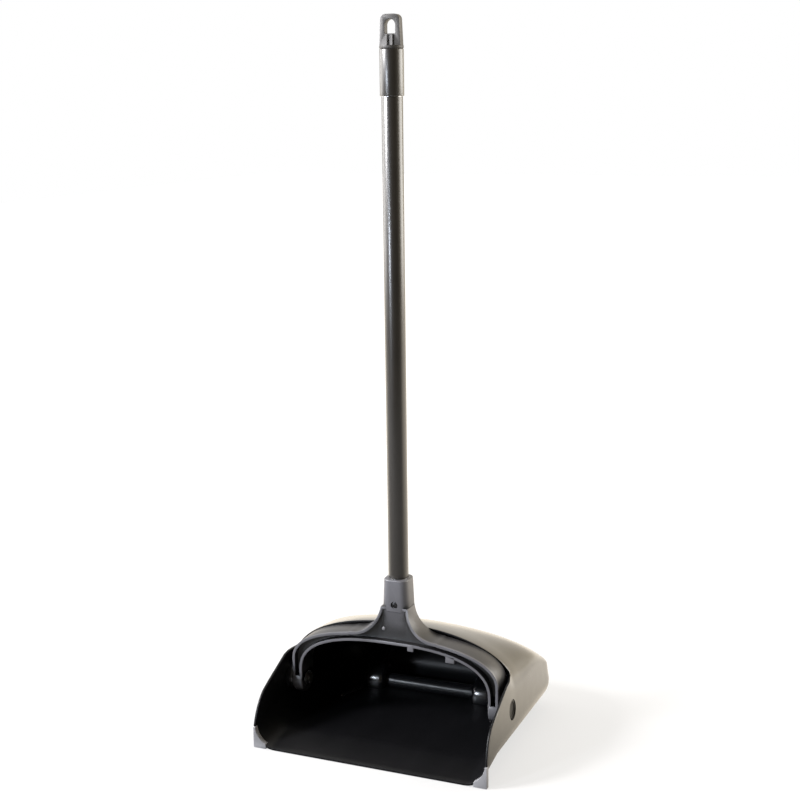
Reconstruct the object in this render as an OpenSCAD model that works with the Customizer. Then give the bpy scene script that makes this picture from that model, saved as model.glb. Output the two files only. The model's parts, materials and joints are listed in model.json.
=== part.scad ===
// Upright lobby dustpan: a hooded pan on two rear wheels, carried by a pivoting yoke and a long tube handle.
// Millimetres, +Z up, the mouth of the pan towards -Y, the origin on the floor under the middle of the pan.

/* [Pan] */
// Width of the pan across the lip
pan_w = 324; // [300:1:350]
// Depth of the pan from the lip to the back
pan_d = 286; // [272:1:310]
// Height of the hood's crest above the floor
pan_h = 151; // [144:1:165]
// Wall thickness of the moulding
wall_t = 3; // [2.5:0.1:4]
// Height of the pan's underside above the floor
floor_gap = 9; // [7:0.5:12]
// Depth over which the floor ramps down to the lip
lip_run = 52; // [40:1:70]
// Radius where the floor turns up into the sides and the back
edge_r = 30; // [26:1:32]
// Radius of the two rear corners seen from above
corner_r = 30; // [24:1:36]
// How far each side leans inwards at the top of its straight stretch
side_lean = 3; // [0:0.5:4]
// Distance from the lip to the shoulder, where the side's top edge ends
shoulder_d = 89; // [80:1:96]
// Height of the shoulder
shoulder_h = 99; // [94:1:104]
// Distance from the lip to the hood's front edge at its crest
hood_d = 122; // [118:1:130]

/* [Wear pads] */
// Width of a corner pad
pad_w = 18; // [14:1:22]
// Height of a corner pad
pad_h = 28; // [22:1:29]
// Depth of a corner pad behind the lip
pad_depth = 7; // [5:0.5:12]

/* [Wheels] */
// Diameter of a rear wheel
wheel_dia = 38; // [34:1:40]
// Width of a wheel's tread
wheel_w = 19; // [16:1:21]
// Distance from the middle of the pan to the middle of a wheel
wheel_x = 80; // [70:1:95]
// Distance from the axle to the back of the pan
axle_inset = 58; // [55:1:64]
// Diameter of the axle rod
axle_dia = 8; // [6:0.5:9]

/* [Yoke] */
// Depth of the yoke's band from front to back
yoke_depth = 34; // [28:1:38]
// Thickness of the yoke's web, flanges and rim
yoke_t = 3.6; // [3:0.1:4]
// Height of the yoke's band at its crest
band_h = 11.5; // [10:0.5:14]
// Width of an arm at its pivot
arm_w = 13.5; // [12:0.5:16]
// Distance from the outside of the pan's lip to the outside of an arm
arm_inset = 15.5; // [14:0.5:18]
// Height of the pivot axis
pivot_h = 61; // [56:1:66]
// Diameter of a pivot pin's shank
pivot_dia = 12; // [8:0.5:14]
// Height of the top of the neck
neck_h = 218; // [210:1:230]
// Width of the neck at its top
neck_w = 34; // [33:0.5:38]
// Depth of the neck from front to back
neck_depth = 33; // [32:0.5:36]
// Depth of the handle's socket in the neck
socket_depth = 45; // [42:1:50]

/* [Handle] */
// Height of the top of the hanging loop
handle_h = 931; // [850:1:1000]
// Outside diameter of the steel tube
tube_dia = 25.4; // [22:0.1:26]
// Wall thickness of the steel tube
tube_t = 1.2; // [0.8:0.1:2]
// Thickness of the vinyl cover on the tube
cover_t = 0.6; // [0.4:0.1:1]
// Distance by which the tube's axis lies behind the pivot axis
tube_back = 9; // [6:0.5:12]
// Outside diameter of the grip sleeve
sleeve_dia = 30; // [29:0.5:34]
// Length of the grip sleeve
sleeve_len = 56; // [40:1:80]
// Height of the hanging loop above the sleeve
loop_h = 41; // [34:1:50]
// Width of the hole in the hanging loop
loop_hole_w = 14; // [11:0.5:15]
// Height of the hole in the hanging loop
loop_hole_h = 17; // [14:0.5:20]

/* [Hidden] */
$fn = 48;

// Fits
running_fit = 0.05;
press_gap = 0.02;
slip_fit = 0.05;
side_play = 0.4;
stop_gap = 0.5;
nest_gap = 3.5;
over = 1;

// Pan form: the roundness of the upright sides and of the hood, where its top starts to fall, and how full its back is
side_n = 2.4;
side_share = 0.48;
hood_n = 2.15;
hood_share = 0.35;
hood_hold = 20;
crown_d = hood_d - 2;
crown_turn = 1.6;
crown_pow = 0.65;
back_h = floor_gap + edge_r + 8;
edge_steps = 7;
hood_steps = 13;
back_steps = 14;
hood_rings = 4;

// Front edge of a side: an ellipse from the lip, then a straight rise to the shoulder
side_foot = 12;
edge_run = 44;
edge_rise = 64;
edge_turn = 72;
edge_points = 9;

// Wheel housings and the axle's tunnel
axle_h = wheel_dia / 2;
axle_d = pan_d - axle_inset;
wheel_room = 2.5;
housing_t = 2.5;
tunnel_r = axle_dia / 2 + 6;
tunnel_bore = axle_dia / 2 + 2.5;
housing_half = wheel_w / 2 + wheel_room;
saddle_t = 5.5;
axle_end = wheel_x + housing_half + saddle_t - 1;
tunnel_end = axle_end + housing_t + 1;
hub_dia = axle_dia + 8;
snap_slot = axle_dia - 1;

// Floor ribs in front of the wheel housings
rib_w = 6;
rib_h = 4;
rib_len = 40;
rib_turn = 25;

// Gussets behind the wheel housings: straight back and outwards
gusset_t = 3;
gusset_turns = [0, -45];
gusset_rise = 6;

// Pivots
arm_x = pan_w / 2 - arm_inset;
pivot_d = hood_d - stop_gap - yoke_depth / 2;
boss_dia = pivot_dia + 25;
head_dia = pivot_dia + 14;
head_t = 3.5;
head_floor = arm_x + side_play + 8.6;
clip_t = 1.4;
clip_dia = pivot_dia + 8;
clip_bed = 0.8;
clip_x = arm_x - arm_w - side_play;
pin_end = clip_x - clip_t - 3;
hub_end = pan_w / 2 - side_lean - 0.6;

// Yoke form: the arch, its opening, and the flare under the neck
arch_n = 2.4;
arch_foot = 92;
arch_top = pan_h - wall_t - nest_gap;
arch_steps = 36;
gap_n = 2.6;
gap_foot = 75;
recess_depth = 10;
recess_reach = 84;
slot_top = 116;
flare_r = 42;
flare_w = neck_w / 2 + 2;
flare_h = arch_top - 2 + flare_r;
flare_top = flare_h - 4;
flare_steps = 14;
spine_top = 9;
spine_foot = 12;
neck_foot = flare_h - 11;
neck_r = 10;

// Tabs under the yoke's rim, on the right only: place, width and drop
tabs = [[26, 9, 6], [81, 13, 6]];

// Handle
tube_d = pivot_d + tube_back;
socket_dia = tube_dia + 2 * slip_fit;
socket_floor = max(neck_h - socket_depth, neck_foot + yoke_t);
sleeve_top = handle_h - loop_h;
sleeve_foot = sleeve_top - sleeve_len;
tube_top = sleeve_top;
cover_end_gap = 0.5;
screw_h = neck_h - 34;
screw_dia = 4;
screw_head_dia = 9;
screw_head_t = 2;
loop_t = 10;
loop_top_w = 25;
loop_corner = 7;
loop_bridge = 6;
collar_h = 4;
seam = 0.8;
plug_len = 25;
loop_rib = 1.2;

// Colours
pan_black = [0.11, 0.105, 0.10];
yoke_black = [0.16, 0.16, 0.17];
vinyl_brown = [0.22, 0.20, 0.18];
pad_grey = [0.62, 0.62, 0.63];
steel = [0.70, 0.70, 0.71];

// Moves a shape that is drawn from the lip backwards onto the part's own origin
module from_lip() translate([0, -pan_d / 2, 0]) children();

// Lays a drawing in (distance behind the lip, height) on its side and extrudes it across the pan
module across(x0, x1) translate([x0, 0, 0]) rotate([90, 0, 90]) linear_extrude(x1 - x0) children();

// Stands a drawing in (across, height) up and extrudes it backwards from one depth to another
module backwards(d0, d1) translate([0, d1, 0]) rotate([90, 0, 0]) linear_extrude(d1 - d0) children();

// A round bar along the pan's width
module cross_bar(x0, x1, d, h, dia) translate([x0, d, h]) rotate([0, 90, 0]) cylinder(d = dia, h = x1 - x0);

module both_sides() {
    children();
    mirror([1, 0, 0]) children();
}

// Outline of the pan at a given depth, inset by t

function plan_half(d, t) = d <= pan_d - corner_r ? pan_w / 2 - t
    : pan_w / 2 - corner_r + sqrt(max(0, pow(corner_r - t, 2) - pow(d - pan_d + corner_r, 2)));

function floor_at(d, t) = d <= pan_d - edge_r ? floor_gap * min(1, d / lip_run) + t
    : floor_gap + edge_r - sqrt(max(0, pow(edge_r - t, 2) - pow(d - pan_d + edge_r, 2)));

function crest_at(d, t) = let (u = max(0, d - crown_d) / (pan_d - t - crown_d))
    back_h + (pan_h - t - back_h) * pow(max(0, 1 - pow(u, crown_turn)), crown_pow);

// A smooth step from 0 at a to 1 at b
function step_up(a, b, d) = let (s = min(1, max(0, (d - a) / (b - a)))) s * s * (3 - 2 * s);

// How far the rounder hood has taken over from the upright sides at a depth
function hooded(d) = step_up(shoulder_d, hood_d, d) * (1 - step_up(hood_d + hood_hold, pan_d - edge_r - corner_r, d));

function side_top(d, foot, top) = foot + (side_share + (hood_share - side_share) * hooded(d)) * (top - foot);

function half_outline(d, t) =
    let (w = plan_half(d, t), f = floor_at(d, t), top = crest_at(d, t))
    let (r = min(edge_r - t, (top - f) / 2), z0 = side_top(d, f + r, top), wt = w - side_lean)
    let (n = side_n + (hood_n - side_n) * hooded(d))
    concat(
        [for (i = [0 : edge_steps]) let (a = -90 + 90 * i / edge_steps) [w - r + r * cos(a), f + r + r * sin(a)]],
        [for (i = [0 : hood_steps]) let (a = 90 * i / hood_steps)
            [wt * pow(cos(a), 2 / n), z0 + (top - z0) * pow(sin(a), 2 / n)]]);

function outline(d, t) = let (right = half_outline(d, t), n = len(right))
    concat(right, [for (i = [n - 2 : -1 : 0]) [-right[i][0], right[i][1]]]);

// A closed body lofted through the pan's outlines
module loft(depths, t) {
    rings = [for (d = depths) [for (p = outline(d, t)) [p[0], d, p[1]]]];
    n = len(rings[0]);
    last = len(depths) - 1;
    sides = [for (i = [0 : last - 1], j = [0 : n - 1]) let (a = i * n + j, b = i * n + (j + 1) % n)
        each [[a, b, b + n], [a, b + n, a + n]]];
    front = [for (j = [n - 1 : -1 : 0]) j];
    back = [for (j = [0 : n - 1]) last * n + j];
    polyhedron([for (r = rings) each r], concat(sides, [front, back]));
}

// Depths of the outlines: two on the ramp, some where the hood begins, then closer and closer towards the back
function loft_depths(t) = let (end = pan_d - t)
    concat([-over - t, lip_run],
           [for (i = [0 : hood_rings]) shoulder_d + (crown_d - shoulder_d) * i / hood_rings],
           [for (i = [1 : back_steps]) crown_d + (end - crown_d) * sin(90 * i / back_steps)]);

// Side view of the pan: the front edge of each side, its top edge back from the shoulder, and the hood's front edge
module side_view() {
    far = pan_d + 20;
    polygon(concat(
        [[far, -over], [0, -over]],
        [for (i = [0 : edge_points]) let (a = edge_turn * i / edge_points)
            [edge_run * (1 - cos(a)), side_foot + edge_rise * sin(a)]],
        [[shoulder_d, shoulder_h], [hood_d, shoulder_h + wall_t], [hood_d, pan_h + over], [far, pan_h + over]]));
}

// One corner at the lip in front view, square outside and round inside
module pad_corner() difference() {
    translate([pan_w / 2 - pad_w, 0]) square([pad_w, pad_h]);
    translate([pan_w / 2 - edge_r, edge_r + floor_gap * pad_depth / lip_run / 2]) circle(r = edge_r - wall_t);
}

// Right-hand wheel housing and tunnel stub, above the floor's underside
module housing_right() intersection() {
    union() {
        cross_bar(wheel_x - housing_half - housing_t, wheel_x + housing_half + housing_t, axle_d, axle_h,
                  wheel_dia + 2 * (wheel_room + housing_t));
        cross_bar(-over, tunnel_end, axle_d, axle_h, 2 * tunnel_r);
    }
    translate([-over, 0, floor_gap]) cube([pan_w / 2, pan_d, pan_h]);
}

// Room for the right-hand wheel, and the right half of the axle's tunnel, open below
module housing_room_right() {
    cross_bar(wheel_x - housing_half, wheel_x + housing_half, axle_d, axle_h, wheel_dia + 2 * wheel_room);
    tunnel_half = wheel_x - housing_half - saddle_t;
    cross_bar(-over, tunnel_half, axle_d, axle_h, 2 * tunnel_bore);
    translate([-over, axle_d - tunnel_bore, 0]) cube([tunnel_half + over, 2 * tunnel_bore, axle_h]);
    cross_bar(-over, axle_end, axle_d, axle_h, axle_dia + 2 * press_gap);
    translate([0, axle_d - snap_slot / 2, 0]) cube([axle_end, snap_slot, axle_h - axle_dia / 4]);
}

module floor_rib_right() translate([wheel_x + 15, axle_d - 29, floor_gap + wall_t / 2])
    rotate([0, 0, rib_turn]) translate([-rib_w / 2, -rib_len, 0]) cube([rib_w, rib_len, wall_t / 2 + rib_h]);

// Gussets from the right-hand housing's top to the middle of the pan's rear wall
module gussets_right() intersection() {
    reach = axle_inset + corner_r;
    top = axle_h + wheel_dia / 2 + wheel_room;
    for (turn = gusset_turns) translate([wheel_x, axle_d, 0]) rotate([0, 0, turn])
        across(-gusset_t / 2, gusset_t / 2)
            polygon([[0, floor_gap], [0, top], [reach, top + gusset_rise], [reach, floor_gap]]);
    loft(loft_depths(wall_t / 2), wall_t / 2);
}

module pan_shell() color(pan_black) from_lip() difference() {
    union() {
        intersection() {
            difference() {
                loft(loft_depths(0), 0);
                loft(loft_depths(wall_t), wall_t);
            }
            across(-pan_w, pan_w) side_view();
        }
        both_sides() {
            housing_right();
            floor_rib_right();
            gussets_right();
            cross_bar(arm_x + side_play, hub_end, pivot_d, pivot_h, boss_dia);
        }
    }
    both_sides() {
        housing_room_right();
        cross_bar(arm_x, pan_w, pivot_d, pivot_h, pivot_dia + 2 * press_gap);
        cross_bar(head_floor, pan_w, pivot_d, pivot_h, head_dia + 2 * side_play);
        translate([pan_w / 2 - pad_w, -over, -over]) cube([pad_w + over, pad_depth + over, pad_h + over]);
    }
}

module wear_pad() from_lip() backwards(0, pad_depth) pad_corner();

module wear_pad_right() color(pad_grey) wear_pad();
module wear_pad_left() color(pad_grey) mirror([1, 0, 0]) wear_pad();

module axle_rod() color(steel) from_lip() cross_bar(-axle_end + side_play, axle_end - side_play, axle_d, axle_h, axle_dia);

// A wheel: tread with rounded shoulders, thin web and a hub that runs on the axle
module wheel(x) {
    r = wheel_dia / 2;
    half = wheel_w / 2;
    hub_half = housing_half - side_play;
    web_half = 3;
    rim_t = 4;
    crown = 2;
    bore = axle_dia / 2 + running_fit;
    from_lip() translate([x, axle_d, axle_h]) rotate([0, 90, 0]) rotate_extrude()
        polygon([[bore, -hub_half], [hub_dia / 2, -hub_half], [hub_dia / 2, -web_half], [r - rim_t, -web_half],
                 [r - rim_t, -half], [r - crown, -half], [r, -half + crown], [r, half - crown], [r - crown, half],
                 [r - rim_t, half], [r - rim_t, web_half], [hub_dia / 2, web_half], [hub_dia / 2, hub_half],
                 [bore, hub_half]]);
}

module wheel_right() color(yoke_black) wheel(wheel_x);
module wheel_left() color(yoke_black) wheel(-wheel_x);

// Headed pivot pin with a groove for its clip, on the right-hand side
module pivot_pin() from_lip() difference() {
    union() {
        cross_bar(pin_end, head_floor + over, pivot_d, pivot_h, pivot_dia);
        cross_bar(head_floor, head_floor + head_t, pivot_d, pivot_h, head_dia);
    }
    difference() {
        cross_bar(clip_x - clip_t, clip_x, pivot_d, pivot_h, pivot_dia + over);
        cross_bar(clip_x - clip_t - over, clip_x + over, pivot_d, pivot_h, pivot_dia - 2 * clip_bed);
    }
}

// Retaining ring in the pin's groove, open at one side
module pivot_clip() from_lip() difference() {
    cross_bar(clip_x - clip_t + press_gap, clip_x - press_gap, pivot_d, pivot_h, clip_dia);
    cross_bar(clip_x - clip_t - over, clip_x + over, pivot_d, pivot_h, pivot_dia - 2 * clip_bed + 2 * press_gap);
    mouth = pivot_dia * 0.6;
    translate([clip_x - clip_t - over, pivot_d - mouth / 2, pivot_h - clip_dia])
        cube([clip_t + 2 * over, mouth, clip_dia]);
}

module pivot_pin_right() color(yoke_black) pivot_pin();
module pivot_pin_left() color(yoke_black) mirror([1, 0, 0]) pivot_pin();
module pivot_clip_right() color(steel) pivot_clip();
module pivot_clip_left() color(steel) mirror([1, 0, 0]) pivot_clip();

// A rounded arch in front view: straight legs down to foot, and a superellipse of exponent n above spring
module arch_view(half, top, spring, n, foot) polygon(concat(
    [[half, foot]],
    [for (i = [0 : arch_steps]) let (q = 180 * i / arch_steps, c = cos(q))
        [half * sign(c) * pow(abs(c), 2 / n), spring + (top - spring) * pow(sin(q), 2 / n)]],
    [[-half, foot]]));

// Outside of the yoke's band, inset by t
module band_outside(t, foot) arch_view(arm_x - t, arch_top - t, arch_foot, arch_n, foot);

// Opening of the yoke, widened by t
module band_opening(t, foot) arch_view(arm_x - arm_w + t, arch_top - band_h + t, gap_foot, gap_n, foot);

// Height of the opening at a distance from the middle
function opening_h(x) = let (half = arm_x - arm_w, top = arch_top - band_h)
    gap_foot + (top - gap_foot) * pow(1 - pow(x / half, gap_n), 1 / gap_n);

// The flare and the neck in front view, inset by t, with a concave sweep into the arch on each side
module flare_view(t) {
    side = concat(
        [[flare_w + flare_r, arch_top - band_h + 2]],
        [for (i = [0 : flare_steps]) let (q = 270 - 90 * i / flare_steps)
            [flare_w + flare_r + (flare_r + t) * cos(q), flare_h + (flare_r + t) * sin(q)]],
        [[neck_w / 2 - t, neck_h]]);
    n = len(side);
    polygon(concat(side, [for (i = [n - 1 : -1 : 0]) [-side[i][0], side[i][1]]]));
}

// The recesses between the yoke's outer flange and its rim, and one in each arm, with the corners between them
// left whole; the front one runs up to the neck's face, the ones behind leave a spine under the neck
module recess_view(spined) difference() {
    union() {
        difference() {
            band_outside(yoke_t, pivot_h + boss_dia / 2);
            band_opening(yoke_t, 0);
        }
        difference() {
            flare_view(yoke_t);
            band_opening(yoke_t, 0);
        }
    }
    if (spined) {
        polygon([[-spine_foot, 0], [spine_foot, 0], [spine_top, neck_h], [-spine_top, neck_h]]);
        translate([-pan_w / 2, neck_foot - yoke_t]) square([pan_w, neck_h]);
    }
    for (x = [recess_reach, -recess_reach - pan_w]) translate([x, slot_top]) square([pan_w, pan_h]);
}

// The yoke below its neck in side view: an upright band whose front leans back under the neck,
// with its back stepped forward above the arch so that it clears the hood's edge
module yoke_side(front, rear) polygon([[front, 0], [front, arch_top + yoke_t], [tube_d - neck_depth / 2, flare_top],
                                       [rear - 2 * stop_gap, flare_top], [rear - 2 * stop_gap, arch_top - yoke_t],
                                       [rear, arch_top - 2 * yoke_t], [rear, 0]]);

// The neck seen from above, with rounded corners
module neck_plan(half_w) {
    half_d = neck_depth / 2;
    translate([0, tube_d]) polygon([for (c = [[1, 1], [-1, 1], [-1, -1], [1, -1]], i = [0 : 5])
        let (q = atan2(c[1], c[0]) - 45 + 90 * i / 5)
        [c[0] * (half_w - neck_r) + neck_r * cos(q), c[1] * (half_d - neck_r) + neck_r * sin(q)]]);
}

// The neck itself, slightly narrower at its top
module neck() hull() {
    slice = 0.1;
    translate([0, 0, neck_foot]) linear_extrude(slice) neck_plan(flare_w);
    translate([0, 0, neck_h - slice]) linear_extrude(slice) neck_plan(neck_w / 2);
}

module yoke() color(yoke_black) from_lip() difference() {
    front = pivot_d - yoke_depth / 2;
    rear = pivot_d + yoke_depth / 2;
    union() {
        difference() {
            intersection() {
                backwards(front, rear) difference() {
                    union() {
                        band_outside(0, pivot_h);
                        flare_view(0);
                    }
                    band_opening(0, 0);
                }
                across(-pan_w, pan_w) yoke_side(front, rear);
            }
            backwards(front - over, front + recess_depth) recess_view(false);
            backwards(front + recess_depth + yoke_t, rear + over) recess_view(true);
        }
        neck();
        both_sides() cross_bar(arm_x - arm_w, arm_x, pivot_d, pivot_h, boss_dia);
        for (tab = tabs) translate([tab[0] - tab[1] / 2, front, opening_h(tab[0] + tab[1] / 2) - tab[2]])
            cube([tab[1], yoke_t, tab[2] + yoke_t]);
    }
    both_sides() cross_bar(0, pan_w, pivot_d, pivot_h, pivot_dia + 2 * running_fit);
    translate([0, tube_d, socket_floor]) cylinder(d = socket_dia, h = socket_depth + over);
    translate([0, tube_d, screw_h]) rotate([90, 0, 0]) cylinder(d = screw_dia + 2 * slip_fit, h = neck_depth);
    translate([0, tube_d - neck_depth / 2 + screw_head_t, screw_h]) rotate([90, 0, 0])
        cylinder(d = screw_head_dia + 2 * slip_fit, h = neck_depth);
}

module handle_tube() color(steel) from_lip() difference() {
    translate([0, tube_d, socket_floor]) cylinder(d = tube_dia, h = tube_top - socket_floor);
    translate([0, tube_d, socket_floor - over]) cylinder(d = tube_dia - 2 * tube_t, h = tube_top);
    translate([0, tube_d, screw_h]) rotate([90, 0, 0]) cylinder(d = screw_dia + 2 * slip_fit, h = tube_dia);
}

module handle_cover() color(vinyl_brown) from_lip() translate([0, tube_d, neck_h + cover_end_gap]) difference() {
    length = sleeve_foot - neck_h - 2 * cover_end_gap;
    cylinder(d = tube_dia + 2 * cover_t, h = length);
    translate([0, 0, -over]) cylinder(d = tube_dia + 2 * press_gap, h = length + 2 * over);
}

// Pan-head screw through the neck's front wall and the tube
module socket_screw() color(steel) from_lip() translate([0, tube_d - neck_depth / 2 + screw_head_t, screw_h])
    rotate([90, 0, 0]) union() {
        intersection() {
            cylinder(d = screw_head_dia, h = screw_head_t);
            translate([0, 0, screw_head_t - screw_head_dia]) sphere(r = screw_head_dia);
        }
        shank = (neck_depth - tube_dia) / 2 + tube_t + 4;
        translate([0, 0, -shank]) cylinder(d = screw_dia, h = shank + screw_head_t / 2);
    }

// The hanging loop in front view
module loop_view() difference() {
    half_foot = sleeve_dia / 2 - 1;
    half_top = loop_top_w / 2;
    polygon(concat(
        [[half_foot, sleeve_top - loop_corner], [half_foot, sleeve_top]],
        [for (i = [0 : 6]) let (q = 90 * i / 6)
            [half_top - loop_corner + loop_corner * cos(q), handle_h - loop_corner + loop_corner * sin(q)]],
        [for (i = [6 : -1 : 0]) let (q = 90 * i / 6)
            [-half_top + loop_corner - loop_corner * cos(q), handle_h - loop_corner + loop_corner * sin(q)]],
        [[-half_foot, sleeve_top], [-half_foot, sleeve_top - loop_corner]]));
    hole_top = handle_h - loop_bridge;
    translate([0, hole_top - loop_hole_w / 2]) circle(d = loop_hole_w);
    translate([-loop_hole_w / 2, hole_top - loop_hole_h]) square([loop_hole_w, loop_hole_h - loop_hole_w / 2]);
}

module grip_sleeve() color(vinyl_brown) from_lip() translate([0, tube_d, sleeve_foot]) difference() {
    cylinder(d = sleeve_dia, h = sleeve_len);
    translate([0, 0, -over]) cylinder(d = socket_dia, h = sleeve_len + 2 * over);
}

// Hanging loop: a plug in the tube's end, a collar over the grip sleeve and a flat eye
module hanger_loop() color(yoke_black) from_lip() {
    translate([0, tube_d, sleeve_top - plug_len]) cylinder(d = tube_dia - 2 * tube_t - 2 * slip_fit, h = plug_len + over);
    translate([0, tube_d, sleeve_top]) cylinder(d = sleeve_dia - 2 * seam, h = collar_h);
    translate([0, tube_d, sleeve_top + seam]) cylinder(d = sleeve_dia, h = collar_h - seam);
    difference() {
        backwards(tube_d - loop_t / 2, tube_d + loop_t / 2) loop_view();
        translate([-pan_w / 2, 0, 0]) cube([pan_w, pan_d, sleeve_top + seam]);
    }
    for (x = [-1, 1]) translate([x * loop_hole_w / 4 - loop_rib, tube_d - loop_t / 2 - loop_rib, sleeve_top + seam])
        cube([2 * loop_rib, loop_t + 2 * loop_rib, loop_h - loop_bridge - loop_hole_h - 2]);
}

pan_shell();
wear_pad_left();
wear_pad_right();
axle_rod();
wheel_left();
wheel_right();
pivot_pin_left();
pivot_pin_right();
pivot_clip_left();
pivot_clip_right();
yoke();
handle_tube();
handle_cover();
socket_screw();
grip_sleeve();
hanger_loop();
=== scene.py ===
import json
import math

import bpy
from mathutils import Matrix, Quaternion, Vector

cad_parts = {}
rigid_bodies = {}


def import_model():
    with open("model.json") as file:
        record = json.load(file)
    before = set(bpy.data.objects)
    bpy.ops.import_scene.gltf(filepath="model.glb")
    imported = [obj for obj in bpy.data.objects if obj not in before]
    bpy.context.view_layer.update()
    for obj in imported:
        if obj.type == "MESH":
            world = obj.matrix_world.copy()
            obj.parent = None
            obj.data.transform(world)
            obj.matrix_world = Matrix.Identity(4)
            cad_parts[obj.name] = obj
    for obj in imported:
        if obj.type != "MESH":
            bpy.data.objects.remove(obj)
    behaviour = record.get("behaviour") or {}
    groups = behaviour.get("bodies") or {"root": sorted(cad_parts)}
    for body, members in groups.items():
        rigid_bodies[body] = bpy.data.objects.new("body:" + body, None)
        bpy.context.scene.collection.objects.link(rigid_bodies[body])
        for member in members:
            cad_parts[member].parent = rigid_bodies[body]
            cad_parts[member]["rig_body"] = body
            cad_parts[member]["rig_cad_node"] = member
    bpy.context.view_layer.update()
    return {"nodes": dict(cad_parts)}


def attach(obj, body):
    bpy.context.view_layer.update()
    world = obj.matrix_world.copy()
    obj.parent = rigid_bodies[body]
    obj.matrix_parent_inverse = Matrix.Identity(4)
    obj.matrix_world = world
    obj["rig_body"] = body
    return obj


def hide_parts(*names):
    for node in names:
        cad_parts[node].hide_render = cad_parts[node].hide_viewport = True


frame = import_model()

# The pan is one black polypropylene moulding: a ramped floor, rounded sides and a deep hood at the back.
# A flat sheet is bent to the outside of the moulding, closed at the rear and given its 3 mm wall.
# The skin is glossy outside and duller inside, where the sweepings have rubbed it. Inside it is also coloured
# much darker and bluer than outside: painted shade in a cool tint.
pan_width = 0.324
pan_depth = 0.286
pan_height = 0.151
lip_y = -pan_depth / 2
wall = 0.003
floor_gap = 0.009
ramp_length = 0.052
edge_radius = 0.030
corner_radius = 0.030
side_lean = 0.003
crown_depth = 0.120
rear_height = 0.047
shoulder_depth = 0.089
shoulder_height = 0.099
hood_depth = 0.122
fade_start = 0.142
fade_end = 0.226
fall_power = 1.6
crest_power = 0.65
side_share = 0.48
hood_drop = 0.13
squareness = 2.4
hood_rounding = 0.25
sheet_join = 0.150


def only(piece):
    """Leave edit mode and make this piece the only one selected."""
    if bpy.context.object and bpy.context.object.mode != "OBJECT":
        bpy.ops.object.mode_set(mode="OBJECT")
    bpy.ops.object.select_all(action="DESELECT")
    piece.select_set(True)
    bpy.context.view_layer.objects.active = piece


def clear_bench():
    """Deselect everything before a new primitive is added."""
    if bpy.context.object and bpy.context.object.mode != "OBJECT":
        bpy.ops.object.mode_set(mode="OBJECT")
    bpy.ops.object.select_all(action="DESELECT")


def named(name):
    """Give the primitive that was just added its name, with its place put into its mesh."""
    piece = bpy.context.object
    piece.name = name
    piece.data.name = name
    bpy.ops.object.transform_apply(location=True, rotation=True, scale=True)
    return piece


def pick_edges(piece, test):
    """Go into edit mode with the edges selected whose two ends pass a test."""
    only(piece)
    bpy.ops.object.mode_set(mode="EDIT")
    bpy.ops.mesh.select_mode(type="EDGE")
    bpy.ops.mesh.select_all(action="DESELECT")
    bpy.ops.object.mode_set(mode="OBJECT")
    points = piece.data.vertices
    for edge in piece.data.edges:
        edge.select = test(points[edge.vertices[0]].co, points[edge.vertices[1]].co)
    bpy.ops.object.mode_set(mode="EDIT")


def apply_modifier(piece, kind, **settings):
    """Add a modifier, set it and apply it."""
    only(piece)
    modifier = piece.modifiers.new(kind.lower(), kind)
    for key, value in settings.items():
        setattr(modifier, key, value)
    bpy.ops.object.modifier_apply(modifier=modifier.name)


def front_edge(height):
    """Depth behind the lip of the pan's front edge at a height: side, top edge, then the hood's edge."""
    foot, run, rise, turn = 0.012, 0.044, 0.064, math.radians(72)
    if height <= foot:
        return 0.0
    bend = (run * (1 - math.cos(turn)), foot + rise * math.sin(turn))
    if height <= bend[1]:
        return run * (1 - math.sqrt(1 - ((height - foot) / rise) ** 2))
    if height <= shoulder_height:
        return bend[0] + (height - bend[1]) * (shoulder_depth - bend[0]) / (shoulder_height - bend[1])
    return min(hood_depth, shoulder_depth + (height - shoulder_height) * (hood_depth - shoulder_depth) / wall)


def step_up(low, high, value):
    """A smooth step from 0 to 1 between two values."""
    share = min(1.0, max(0.0, (value - low) / (high - low)))
    return share * share * (3 - 2 * share)


def pan_section(part, depth):
    """Half of the pan's section at a depth: part runs from the middle of the floor, 0, to the crest, 1."""
    past_corner = max(0.0, depth - pan_depth + corner_radius)
    past_edge = max(0.0, depth - pan_depth + edge_radius)
    half = pan_width / 2 - corner_radius + math.sqrt(max(0.0, corner_radius ** 2 - past_corner ** 2))
    floor = floor_gap * min(1.0, depth / ramp_length)
    floor += edge_radius - math.sqrt(max(0.0, edge_radius ** 2 - past_edge ** 2))
    fall = max(0.0, depth - crown_depth) / (pan_depth - crown_depth)
    crest = rear_height + (pan_height - rear_height) * max(0.0, 1 - fall ** fall_power) ** crest_power
    radius = min(edge_radius, (crest - floor) / 2)
    hooded = step_up(shoulder_depth, hood_depth, depth) * (1 - step_up(fade_start, fade_end, depth))
    spring = floor + radius + (side_share - hood_drop * hooded) * (crest - floor - radius)
    roundness = squareness - hood_rounding * hooded
    turn_in, turn_out, side_end = 8 / 60, 20 / 60, 28 / 60
    if part <= turn_in:
        return (half - radius) * part / turn_in, floor
    if part <= turn_out:
        angle = math.pi / 2 * (part - turn_in) / (turn_out - turn_in)
        return half - radius + radius * math.sin(angle), floor + radius - radius * math.cos(angle)
    if part <= side_end:
        share = (part - turn_out) / (side_end - turn_out)
        return half - side_lean * share, floor + radius + (spring - floor - radius) * share
    angle = math.pi / 2 * (part - side_end) / (1 - side_end)
    across = (half - side_lean) * max(0.0, math.cos(angle)) ** (2 / roundness)
    return across, spring + (crest - spring) * math.sin(angle) ** (2 / roundness)


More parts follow.
